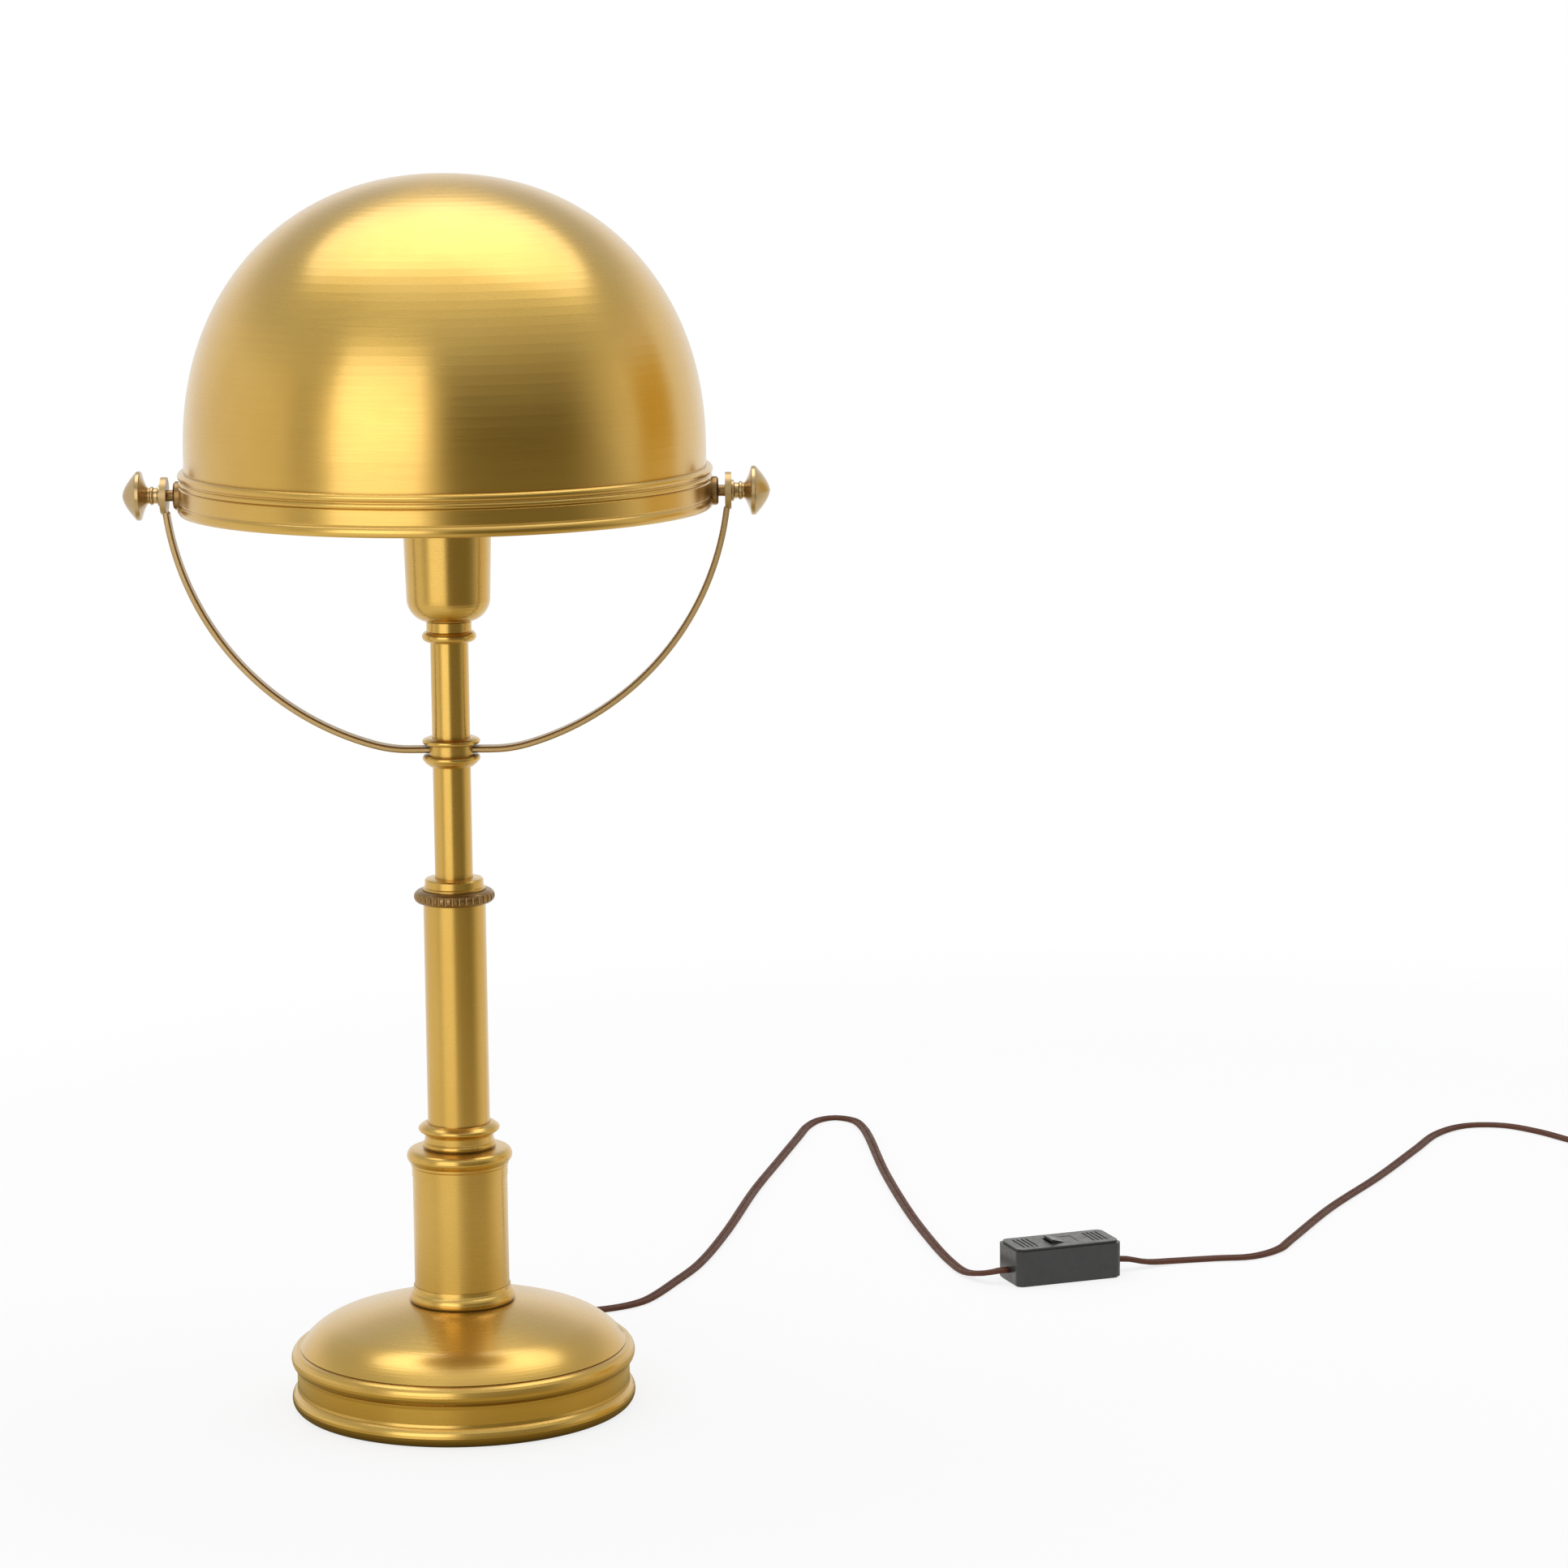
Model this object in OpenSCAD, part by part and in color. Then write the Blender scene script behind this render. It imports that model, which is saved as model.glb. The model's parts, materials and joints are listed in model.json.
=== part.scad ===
// Dome shade desk lamp: a spun dome on a half-ring yoke, on a telescoping column with a weighted base.
// Millimetres, +Z up, origin on the table under the column, yoke in the XZ plane, shade at rest upright.
// The cord leaves the base at the back (+Y), lies on the table with its switch and ends in a coil and plug.

/* [Base] */
// Diameter over the bead and the foot of the base
base_d = 161.6; // [150:0.2:180]
// Depth of the plain band between the beads
band_step = 2.6; // [1:0.1:4]
// Height of the seat on which the column stands
base_h = 49.3; // [46:0.1:58]
// Height of the foot bead
foot_h = 8.6; // [7:0.1:9.4]
// Height of the upper bead
bead_h = 8.8; // [7:0.1:9.4]
// Height at which the upper bead starts
bead_z = 19.4; // [18.6:0.1:21]
// Crown radius of the base's dome
crown_r = 184; // [150:1:240]
// Shoulder radius of the base's dome
shoulder_r = 33; // [24:1:40]
// Wall of the spun base shell
base_wall = 1.2; // [0.8:0.1:1.6]
// Thickness of the felt under the base
felt_t = 1.5; // [1:0.1:3]
// Thickness of the steel closing plate
plate_t = 1.5; // [1:0.1:2.5]
// Height of the cast weight at its edge
weight_h = 17; // [12:0.5:20]

/* [Column] */
// Diameter of the lower sleeve
lower_d = 44.4; // [42:0.2:50]
// Height at which the lower sleeve meets the step fitting
lower_top = 110; // [95:1:130]
// Diameter of the column tube
middle_d = 29; // [27:0.2:32]
// Height of the column tube's upper end
middle_top = 246; // [225:1:275]
// Diameter of the sliding mast tube
mast_d = 17.6; // [16:0.2:19]
// Height of the mast tube's lower end at rest
mast_foot = 122; // [119:1:132]
// Height of the mast tube's upper end at rest
mast_top = 367; // [350:1:385]
// Wall of the column and mast tubes
tube_wall = 1.5; // [1:0.1:2]
// Diameter over the flange of the step fitting
flange_d = 49.4; // [47:0.2:54]
// Diameter over the knurled clamp ring
clamp_d = 37.6; // [35:0.2:42]
// Number of flutes round the clamp ring
flutes = 36; // [12:1:48]
// Diameter over the ring at the foot of the column
foot_ring_d = 49.6; // [47:0.2:54]
// Outer diameter of the hollow threaded rod
rod_d = 10; // [9:0.1:10.4]
// Bore of the hollow threaded rod
rod_bore = 6.6; // [5.6:0.1:7.2]

/* [Lampholder and bulb] */
// Diameter of the lampholder cup at its mouth
cup_d = 41; // [40:0.2:44]
// Diameter of the lampholder cup above its rounded foot
cup_foot_d = 38.6; // [38:0.2:39.6]
// Height of the lampholder cup
cup_h = 51; // [48:0.5:56]
// Wall of the lampholder cup
cup_wall = 1.2; // [0.8:0.1:1.4]
// Mean diameter of the screw thread of the bulb cap
thread_d = 25.5; // [25:0.1:25.8]
// Pitch of the screw thread
thread_pitch = 3.63; // [3.4:0.01:3.8]
// Diameter of the bulb's globe
bulb_d = 60; // [50:1:70]
// Height of the bulb from the tip of its contact to its crown
bulb_h = 107; // [100:1:118]

/* [Shade] */
// Outer diameter of the dome above its rim
dome_d = 239; // [225:1:250]
// Height of the dome above its widest place
dome_rise = 125.6; // [112:0.2:135]
// Height of the straight skirt from the rim's lower edge to the widest place
skirt_h = 27.2; // [23:0.2:34]
// Squareness of the dome's curve, 2 for an ellipse
dome_power = 2.14; // [2:0.01:2.4]
// Wall of the spun dome
dome_wall = 0.8; // [0.7:0.1:1.4]
// How far the beads of the rim band stand out from the dome
rim_proud = 3.3; // [2.4:0.1:6]
// Height of the rim band
rim_h = 19; // [17:0.2:22]
// Height of the tilt axis above the rim's lower edge
axis_up = 7; // [6.2:0.1:8.2]

/* [Yoke and finials] */
// Height of the tilt axis above the table
axis_z = 430.3; // [415:0.1:450]
// Distance from the rim's beads to the middle of each eye
eye_gap = 6.6; // [5:0.1:12]
// Height of the middle of the yoke's arc above the tilt axis
arc_up = 8.2; // [0:0.2:14]
// How far the yoke's foot lies inside the full circle of its arc
yoke_flat = 2.7; // [1:0.1:8]
// Radius of the bend from the yoke's arc into its level foot
bend_r = 60; // [20:1:80]
// Width of the yoke's strap
strap_w = 8; // [5:0.1:10]
// Thickness of the yoke's strap
strap_t = 2.8; // [1.8:0.1:3.4]
// Diameter of the eye at each end of the yoke
eye_d = 17; // [13:0.1:19]
// Diameter of the pivot stud's thread
stud_d = 3.8; // [3:0.1:5]
// Diameter of the pivot stud's boss on the rim
boss_d = 13.2; // [10:0.1:13.8]
// Diameter over the finial's rim
finial_d = 22.6; // [18:0.2:26]
// Length of the finial from the eye to its tip
finial_l = 17.8; // [15:0.2:22]
// Diameter over the yoke collar's beads
collar_d = 26.8; // [25:0.2:32]
// Height of the yoke collar
collar_h = 13.4; // [12:0.1:18]

/* [Cord, switch and plug] */
// Width of the flat twin cord
cord_w = 5.3; // [4.5:0.1:5.6]
// Thickness of the flat twin cord
cord_t = 2.6; // [2.2:0.1:2.8]
// Length of the strain relief outside the base
relief_l = 24; // [20:1:26]
// Length of the switch housing
switch_l = 58; // [52:1:66]
// Width of the switch housing
switch_w = 27; // [24:0.5:32]
// Height of the switch housing
switch_h = 19.6; // [18:0.1:24]
// Length of the rocker's top
rocker_l = 14.4; // [12:0.1:18]
// Width of the rocker
rocker_w = 10.8; // [8:0.1:13]
// Tilt of the rocker at rest
rocker_tilt = 8; // [5:0.5:9]
// Length of the plug body
plug_l = 27; // [24:0.5:34]
// Width of the plug body
plug_w = 24; // [22:0.5:28]
// Thickness of the plug body
plug_h = 9; // [8.6:0.1:9.2]
// Distance between the plug's two blades
blade_gap = 12.7; // [12:0.1:13.4]

/* [Fits] */
// Clearance round a turning or sliding piece
run_gap = 0.05; // [0.02:0.01:0.08]
// Clearance between fixed pieces that fit into each other
snug_gap = 0.03; // [0.01:0.01:0.08]
// Clearance of loose covers and inserts
loose_gap = 0.2; // [0.1:0.05:0.3]

/* [Hidden] */
$fn = 96;

brass = [0.80, 0.62, 0.30];
old_brass = [0.62, 0.46, 0.22];
zinc = [0.70, 0.71, 0.72];
iron = [0.25, 0.25, 0.27];
black = [0.07, 0.07, 0.08];
brown = [0.23, 0.13, 0.09];
cream = [0.90, 0.88, 0.82];
opal = [0.97, 0.96, 0.93];
eps = 0.01;

// points of a circular arc in a profile, from angle a0 to a1 in n steps
function arc(c, r, a0, a1, n) =
    [for (i = [0:n]) let (a = a0 + (a1 - a0) * i / n) [c[0] + r * cos(a), c[1] + r * sin(a)]];

// a turned bead from height z0 to z1 that swells from radius r0 to r1
function bead(r0, r1, z0, z1, n = 8) =
    let (
        half = (z1 - z0) / 2,
        swell = r1 - r0,
        rho = (half * half + swell * swell) / (2 * swell),
        open = asin(min(1, half / rho))
    )
    arc([r1 - rho, z0 + half], rho, -open, open, n);

module turned(points) {
    rotate_extrude() polygon(points);
}

module tube(r_out, r_in, z0, z1) {
    turned([[r_in, z0], [r_out, z0], [r_out, z1], [r_in, z1]]);
}

module hex_nut(across, bore_r, h) {
    difference() {
        cylinder(h = h, r = across / sqrt(3), $fn = 6);
        translate([0, 0, -1]) cylinder(h = h + 2, r = bore_r, $fn = 48);
    }
}

// ---- base ----
base_r = base_d / 2;
band_r = base_r - band_step;
shell_low = 0.4;
foot_top = shell_low + foot_h;
bead_top = bead_z + bead_h;
bead_root = band_r + 0.2;
dome_foot = [base_r - 4.2, bead_top + 0.6];
seat_r = foot_ring_d / 2 + 0.6;
crown_z = base_h - sqrt(crown_r * crown_r - seat_r * seat_r);
inner_r = band_r - base_wall;
rod_r = rod_d / 2;
rod_nut_w = 1.4 * rod_d;
plate_z = felt_t;
weight_z = plate_z + plate_t;
service_r = 12.5;
service_z = weight_z + 8;
seat_under = base_h - base_wall;
screw_pcd_r = base_r * 0.72;
relief_z = (foot_top + bead_z) / 2;
relief_neck_r = 4.4;

// the base's dome: a flat crown arc that runs into a tighter shoulder arc, at a depth below the surface
function base_dome(depth) =
    let (
        reach = norm(dome_foot - [0, crown_z]),
        lean = atan2(dome_foot[0], dome_foot[1] - crown_z),
        gap = crown_r - shoulder_r,
        turn = acos((gap * gap + reach * reach - shoulder_r * shoulder_r) / (2 * reach * gap)),
        phi = lean - turn,
        c = [gap * sin(phi), crown_z + gap * cos(phi)],
        a_foot = atan2(dome_foot[1] - c[1], dome_foot[0] - c[0]),
        a_seat = acos((seat_r) / crown_r)
    )
    concat(
        arc(c, shoulder_r - depth, a_foot, 90 - phi, 12),
        arc([0, crown_z], crown_r - depth, 90 - phi + 1, a_seat, 8)
    );

module felt_pad() {
    color("darkgreen") tube(inner_r - 1.5, service_r, 0, felt_t);
}

module at_plate_screws() {
    for (a = [30, 150, 270]) rotate([0, 0, a]) translate([screw_pcd_r, 0, 0]) children();
}

module base_plate() {
    color(zinc) difference() {
        tube(inner_r - loose_gap, service_r, plate_z, weight_z);
        at_plate_screws() translate([0, 0, plate_z - eps])
            cylinder(h = plate_t + 2 * eps, r1 = 3.6 + snug_gap, r2 = 2 + snug_gap, $fn = 32);
    }
}

module plate_screws() {
    color(zinc) at_plate_screws() translate([0, 0, plate_z])
        rotate_extrude($fn = 32)
            polygon([[0, 0], [3.6, 0], [2, plate_t], [2, plate_t + 8], [0, plate_t + 9]]);
}

module base_weight() {
    edge_r = inner_r - 3;
    boss_r = seat_r - 4;
    top_z = weight_z + weight_h;
    color(iron) difference() {
        turned([
            [rod_r + 0.4, service_z], [service_r, service_z], [service_r, weight_z], [edge_r, weight_z],
            [edge_r, top_z], [edge_r * 0.82, top_z + 6], [boss_r + 3, top_z + 13], [boss_r, top_z + 16],
            [boss_r, seat_under], [rod_r + 0.4, seat_under]
        ]);
        translate([-5, rod_r, weight_z - 1]) cube([10, edge_r, relief_z + 6 - weight_z + 1]);
        at_plate_screws() translate([0, 0, weight_z - 1]) cylinder(h = 11, r = 2 + snug_gap, $fn = 32);
    }
}

module base_shell() {
    outer = concat(
        [[inner_r, shell_low]],
        bead(bead_root, base_r, shell_low, foot_top),
        [[band_r + 0.25, foot_top + 0.3], [band_r, foot_top + 1.6], [band_r, bead_z - 1.6],
            [band_r + 0.2, bead_z - 0.2]],
        bead(bead_root, base_r, bead_z, bead_top),
        [[dome_foot[0] - 0.2, bead_top + 0.2]],
        base_dome(0)
    );
    inner = base_dome(base_wall);
    color(brass) difference() {
        turned(concat(
            outer,
            [[rod_r + loose_gap, base_h], [rod_r + loose_gap, seat_under]],
            [for (i = [len(inner) - 1:-1:0]) inner[i]],
            [[inner_r, bead_top - 4]]
        ));
        translate([0, band_r + 3, relief_z]) rotate([90, 0, 0])
            cylinder(h = 8, r = relief_neck_r + snug_gap, $fn = 48);
    }
}

rod_low = service_z - 7;
web_t = 4;
nut_h = 4;
washer_t = 1.5;
rod_top = base_h + web_t + washer_t + nut_h + 3;

module tie_rod() {
    color(zinc) tube(rod_r, rod_bore / 2, rod_low, rod_top);
}

module rod_nuts() {
    color(zinc) {
        translate([0, 0, service_z - washer_t - nut_h]) hex_nut(rod_nut_w, rod_r + snug_gap, nut_h);
        translate([0, 0, base_h + web_t + washer_t]) hex_nut(rod_nut_w, rod_r + snug_gap, nut_h);
    }
}

module rod_washers() {
    color(zinc) {
        tube(10, rod_r + snug_gap, service_z - washer_t, service_z);
        tube(10, rod_r + snug_gap, base_h + web_t, base_h + web_t + washer_t);
    }
}

// ---- column ----
lower_r = lower_d / 2;
lower_in = lower_r - tube_wall;
middle_r = middle_d / 2;
middle_in = middle_r - tube_wall;
mast_r = mast_d / 2;
foot_ring_h = 8;
lower_foot = base_h + foot_ring_h;
spigot_r = lower_in - snug_gap;
socket_r = middle_r + snug_gap;
flange_r = flange_d / 2;
clamp_r = clamp_d / 2;

module foot_ring() {
    r = foot_ring_d / 2;
    color(brass) turned(concat(
        [[rod_r + snug_gap, base_h]],
        bead(r - 1, r, base_h, base_h + 5),
        [[lower_r + 1.3, base_h + 5.3], [lower_r + 0.7, base_h + 6.4], [lower_r + 0.5, lower_foot],
            [spigot_r, lower_foot], [spigot_r, lower_foot + 6], [socket_r, lower_foot + 6],
            [socket_r, base_h + web_t], [rod_r + snug_gap, base_h + web_t]]
    ));
}

module lower_sleeve() {
    color(brass) tube(lower_r, lower_in, lower_foot, lower_top);
}

// heights of the step fitting's turned details above the top of the lower sleeve
module step_fitting() {
    z = lower_top;
    color(brass) turned(concat(
        [[socket_r, z - 6], [spigot_r, z - 6], [spigot_r, z], [lower_r + 0.25, z], [lower_r + 0.25, z + 4.4],
            [lower_r + 0.7, z + 5], [lower_r + 0.7, z + 6]],
        bead(flange_r - 1.5, flange_r, z + 6.5, z + 12.3),
        [[middle_r + 7.4, z + 12.7], [middle_r + 4.4, z + 13], [middle_r + 2.2, z + 13.2]],
        bead(middle_r + 1.9, middle_r + 2.7, z + 13.4, z + 16.2),
        [[middle_r + 1.6, z + 16.7], [middle_r + 1.6, z + 19.2], [middle_r + 1.9, z + 20],
            [middle_r + 2.6, z + 20.7]],
        bead(middle_r + 3.6, middle_r + 4.5, z + 21, z + 23.6),
        [[middle_r + 2.8, z + 24.3], [middle_r + 1.2, z + 25], [socket_r, z + 25]]
    ));
}

module column_tube() {
    color(brass) tube(middle_r, middle_in, base_h + web_t, middle_top);
}

module cap_bush() {
    z = middle_top;
    color(brass) turned([
        [mast_r + run_gap, z - 9], [middle_in - snug_gap, z - 9], [middle_in - snug_gap, z],
        [middle_r + 0.2, z], [middle_r + 0.2, z + 0.7], [middle_r - 0.8, z + 1.1], [middle_r - 0.9, z + 4.2],
        [middle_r - 1.5, z + 4.9], [mast_r + 1.2, z + 5.3], [mast_r + run_gap, z + 5.3]
    ]);
}

clamp_h = 6.2;
clamp_z = middle_top - 0.3 - clamp_h;

module clamp_ring() {
    bore = middle_r + run_gap;
    flute_r = PI * clamp_r / flutes * 0.55;
    color(old_brass) difference() {
        turned(concat(
            [[bore, clamp_z], [middle_r + 1.4, clamp_z]],
            bead(clamp_r - 2.4, clamp_r, clamp_z + 0.2, clamp_z + clamp_h - 0.2),
            [[middle_r + 1.4, clamp_z + clamp_h], [bore, clamp_z + clamp_h]]
        ));
        for (i = [0:flutes - 1]) rotate([0, 0, 360 * i / flutes])
            translate([clamp_r + flute_r * 0.15, 0, clamp_z - 1])
                cylinder(h = clamp_h + 2, r = flute_r, $fn = 16);
    }
}

// ---- mast ----
mast_in = mast_r - 1.2;
end_ring_h = 3;
bush_z = mast_foot + 1 + end_ring_h;
bush_h = 12;

module slide_bush() {
    color(cream) tube(middle_in - run_gap, mast_r + run_gap, bush_z + 0.1, bush_z + bush_h - 0.1);
}

module mast_end_rings() {
    color(old_brass) {
        tube(mast_r + 2.6, mast_r + snug_gap, bush_z - end_ring_h, bush_z);
        tube(mast_r + 2.6, mast_r + snug_gap, bush_z + bush_h, bush_z + bush_h + end_ring_h);
    }
}

module mast_tube() {
    color(brass) tube(mast_r, mast_in, mast_foot, mast_top);
}

// ---- yoke ----
dome_r = dome_d / 2;
rim_r = dome_r + rim_proud;
rim_z = axis_z - axis_up;
eye_x = rim_r + eye_gap;
yoke_r = norm([eye_x, arc_up]);
eye_in = eye_x - strap_t / 2;
eye_out = eye_x + strap_t / 2;
arc_z = axis_z + arc_up;
yoke_low = arc_z - yoke_r + yoke_flat;
collar_z = yoke_low - collar_h * 0.583;
waist_r = collar_d / 2 - 2.7;
collar_r = collar_d / 2;
strap_in = waist_r + snug_gap;
// plan distance of the bend's middle, so that the small bend runs into the large arc
bend_x = sqrt(pow(yoke_r - bend_r, 2) - pow(arc_z - yoke_low - bend_r, 2));
bend_a = atan2(bend_x, arc_z - yoke_low - bend_r);
eye_a = asin((arc_z - axis_z) / yoke_r);

// at distance x along the tilt axis, with the local Z outwards along it
module at_studs(x) {
    translate([x, 0, axis_z]) rotate([0, 90, 0]) children();
}

module yoke_collar() {
    z = collar_z;
    h = collar_h;
    color(brass) difference() {
        turned(concat(
            [[mast_r + snug_gap, z], [mast_r + 1.4, z], [collar_r - 1.9, z + h * 0.08],
                [collar_r - 1.1, z + h * 0.14]],
            bead(collar_r - 1, collar_r, z + h * 0.17, z + h * 0.39),
            [[waist_r, z + h * 0.41], [waist_r, z + h * 0.75]],
            bead(collar_r - 1, collar_r, z + h * 0.77, z + h * 0.96),
            [[mast_r + 2.2, z + h], [mast_r + snug_gap, z + h]]
        ));
        translate([0, 0, yoke_low]) rotate([-90, 0, 0]) cylinder(h = collar_d, r = 2 + snug_gap, $fn = 32);
    }
}

module collar_screw() {
    color(zinc) translate([0, mast_r + 0.02, yoke_low]) rotate([-90, 0, 0])
        difference() {
            cylinder(h = waist_r - mast_r + 0.6, r = 2, $fn = 32);
            translate([0, 0, waist_r - mast_r - 1]) cylinder(h = 3, r = 1.15, $fn = 6);
        }
}

// the strap's section, less a hair where a piece of it runs into its neighbours
module strap_section(trim = 0) {
    w = strap_w / 2 - trim;
    t = strap_t / 2 - trim;
    c = strap_t * 0.28;
    polygon([[-t, -w + c], [-t + c, -w], [t - c, -w], [t, -w + c], [t, w - c], [t - c, w], [-t + c, w],
        [-t, w - c]]);
}

module strap_arc(c, r, a0, a1, trim = 0) {
    translate([c[0], 0, c[1]]) rotate([90, 0, 0]) rotate([0, 0, a0])
        rotate_extrude(angle = a1 - a0, $fn = 192) translate([r, 0]) strap_section(trim);
}

// the right half of the yoke; the left one is its mirror image
module yoke_strap() {
    color(brass) difference() {
        union() {
            strap_arc([0, arc_z], yoke_r, -90 + bend_a, -eye_a);
            strap_arc([bend_x, yoke_low + bend_r], bend_r, -90.5, -89.5 + bend_a, 0.02);
            translate([strap_in - 1, 0, yoke_low]) rotate([0, 90, 0])
                linear_extrude(height = bend_x - strap_in + 1) strap_section();
            at_studs(eye_in) cylinder(h = strap_t, r = eye_d / 2, $fn = 64);
        }
        translate([0, 0, yoke_low - 10]) cylinder(h = 20, r = strap_in);
        at_studs(eye_in - eye_d) cylinder(h = eye_d, r = eye_d / 2 + snug_gap, $fn = 64);
        at_studs(eye_x - strap_t) cylinder(h = 2 * strap_t, r = stud_d / 2 + run_gap, $fn = 48);
    }
}

module yoke_strap_right() {
    yoke_strap();
}

module yoke_strap_left() {
    mirror([1, 0, 0]) yoke_strap();
}

// ---- lampholder ----
neck_h = 4;
cup_z = mast_top + neck_h;
cup_r = cup_d / 2;
cup_foot_r = cup_foot_d / 2;
cup_round = 11;
cup_top = cup_z + cup_h;
neck_r = mast_r + 1.6;
nipple_top = cup_z + 13;
flange_t = 3;
holder_floor = cup_z + 17;

module holder_neck() {
    color(brass) turned(concat(
        [[mast_r + snug_gap, mast_top - 5.2], [mast_r + 1.7, mast_top - 5.2]],
        bead(mast_r + 2.2, mast_r + 3.75, mast_top - 5, mast_top - 0.5),
        [[neck_r, mast_top - 0.3], [neck_r, cup_z], [rod_r + snug_gap, cup_z], [rod_r + snug_gap, mast_top],
            [mast_r + snug_gap, mast_top]]
    ));
}

module holder_nipple() {
    color(zinc) tube(rod_r, rod_bore / 2, mast_top - 8, nipple_top);
}

module nipple_nut() {
    color(zinc) translate([0, 0, cup_z + cup_wall]) hex_nut(rod_nut_w, rod_r + snug_gap, nut_h);
}

// the holder's wall at a depth below its surface, from its foot to its mouth
function cup_side(depth) =
    let (c = [cup_foot_r - cup_round, cup_z + cup_round], r = cup_round - depth)
    concat(arc(c, r, -90, 0, 12), [[cup_r - depth, cup_top]]);

module holder_cup() {
    inner = cup_side(cup_wall);
    color(brass) turned(concat(
        [[rod_r + snug_gap, cup_z]],
        cup_side(0),
        [for (i = [len(inner) - 1:-1:0]) inner[i]],
        [[rod_r + snug_gap, cup_z + cup_wall]]
    ));
}

wave = 0.38;
shell_t = 0.6;
bulb_tip = holder_floor + 3.6;
cap_foot = bulb_tip + 3.4;
cap_top = bulb_tip + 26;
shell_z = bulb_tip + 1;
shell_top = cap_top - 1;
shell_out = thread_d / 2 + 0.3 + wave + shell_t;

// radius of the rolled thread at height z
function thread(r, z) = r + wave * cos(360 * (z - cap_foot) / thread_pitch);

module holder_insulator() {
    bore = shell_out + snug_gap;
    body_r = cup_foot_r - cup_wall - 0.6;
    color(cream) difference() {
        turned([
            [0, nipple_top - 5], [body_r - 1, nipple_top - 5], [body_r, nipple_top - 4], [body_r, cup_top],
            [cup_r, cup_top], [cup_r, cup_top + flange_t - 0.6], [cup_r - 0.6, cup_top + flange_t],
            [shell_out + 2.2, cup_top + flange_t], [shell_out + 2.2, shell_top + 0.8],
            [bore, shell_top + 0.8], [bore, shell_z],
            [bore - 2, shell_z], [bore - 2, holder_floor], [0, holder_floor]
        ]);
        translate([0, 0, nipple_top - 6]) cylinder(h = 6, r = rod_r + snug_gap, $fn = 48);
        for (s = [-1, 1]) translate([s * 9, 0, nipple_top - 6]) cylinder(h = 20, r = 1.6, $fn = 24);
    }
}

module screw_shell() {
    n = floor((shell_top - shell_z) / thread_pitch * 6);
    zs = [for (i = [0:n]) shell_z + (shell_top - shell_z) * i / n];
    r_in = thread_d / 2 + 0.3;
    color(brass) turned(concat(
        [for (z = zs) [thread(r_in, z), z]],
        [for (i = [n:-1:0]) [thread(r_in + shell_t, zs[i]), zs[i]]]
    ));
}

module centre_contact() {
    color(brass) turned([
        [0, holder_floor], [6, holder_floor], [6, holder_floor + 0.8], [3.4, holder_floor + 1.4],
        [2.6, bulb_tip - 0.1], [0, bulb_tip - 0.1]
    ]);
}

// ---- bulb ----
globe_r = bulb_d / 2;
globe_z = bulb_tip + bulb_h - globe_r;
glass_t = 1;
glass_neck = thread_d / 2 + 0.5;

module bulb_cap() {
    n = floor((cap_top - cap_foot) / thread_pitch * 6);
    zs = [for (i = [0:n]) cap_foot + (cap_top - cap_foot) * i / n];
    r = thread_d / 2;
    color(zinc) turned(concat(
        [[0, bulb_tip], [3.6, bulb_tip], [4.8, bulb_tip + 0.7], [5.2, bulb_tip + 1.2],
            [r - 1.6, cap_foot - 0.4]],
        [for (z = zs) [thread(r, z), z]],
        [[glass_neck + 0.4, cap_top + 0.6], [glass_neck + 0.4, cap_top + 3.8],
            [glass_neck - 0.4, cap_top + 3.8], [glass_neck - 0.4, cap_top + 2.2], [0, cap_top + 2.2]]
    ));
}

// the globe runs down into the neck through a hollow curve; depth below the glass's surface
function glass_side(depth) =
    let (
        swing = 52,
        neck = glass_neck - 0.45,
        hollow = (globe_r * cos(swing) - neck) / (1 - cos(swing)),
        c = [(globe_r + hollow) * cos(swing), globe_z - (globe_r + hollow) * sin(swing)]
    )
    concat(
        [[neck - depth, cap_top + 2.25]],
        arc(c, hollow + depth, 180, 180 - swing, 10),
        arc([0, globe_z], globe_r - depth, 4 - swing, 90, 26)
    );

module bulb_glass() {
    outer = glass_side(0);
    inner = glass_side(glass_t);
    color(opal) turned(concat(outer, [for (i = [len(inner) - 1:-1:0]) inner[i]]));
}

// ---- shade ----
lip_t = 1;
dome_wide = rim_z + skirt_h;
band_in = dome_r + snug_gap;
plain_r = rim_r - 0.8;

function dome_curve(r, rise, n) =
    [for (i = [0:n]) let (u = 90 * i / n)
        [r * pow(cos(u), 2 / dome_power), dome_wide + rise * pow(sin(u), 2 / dome_power)]];

module dome_shade() {
    outer = dome_curve(dome_r, dome_rise, 44);
    inner = dome_curve(dome_r - dome_wall, dome_rise - dome_wall, 44);
    color(brass) difference() {
        turned(concat(
            [[dome_r - dome_wall, rim_z + lip_t], [dome_r, rim_z + lip_t]],
            outer,
            [for (i = [len(inner) - 1:-1:0]) inner[i]]
        ));
        at_studs(-dome_r - 5) cylinder(h = 2 * dome_r + 10, r = stud_r + snug_gap, $fn = 48);
    }
}

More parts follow.
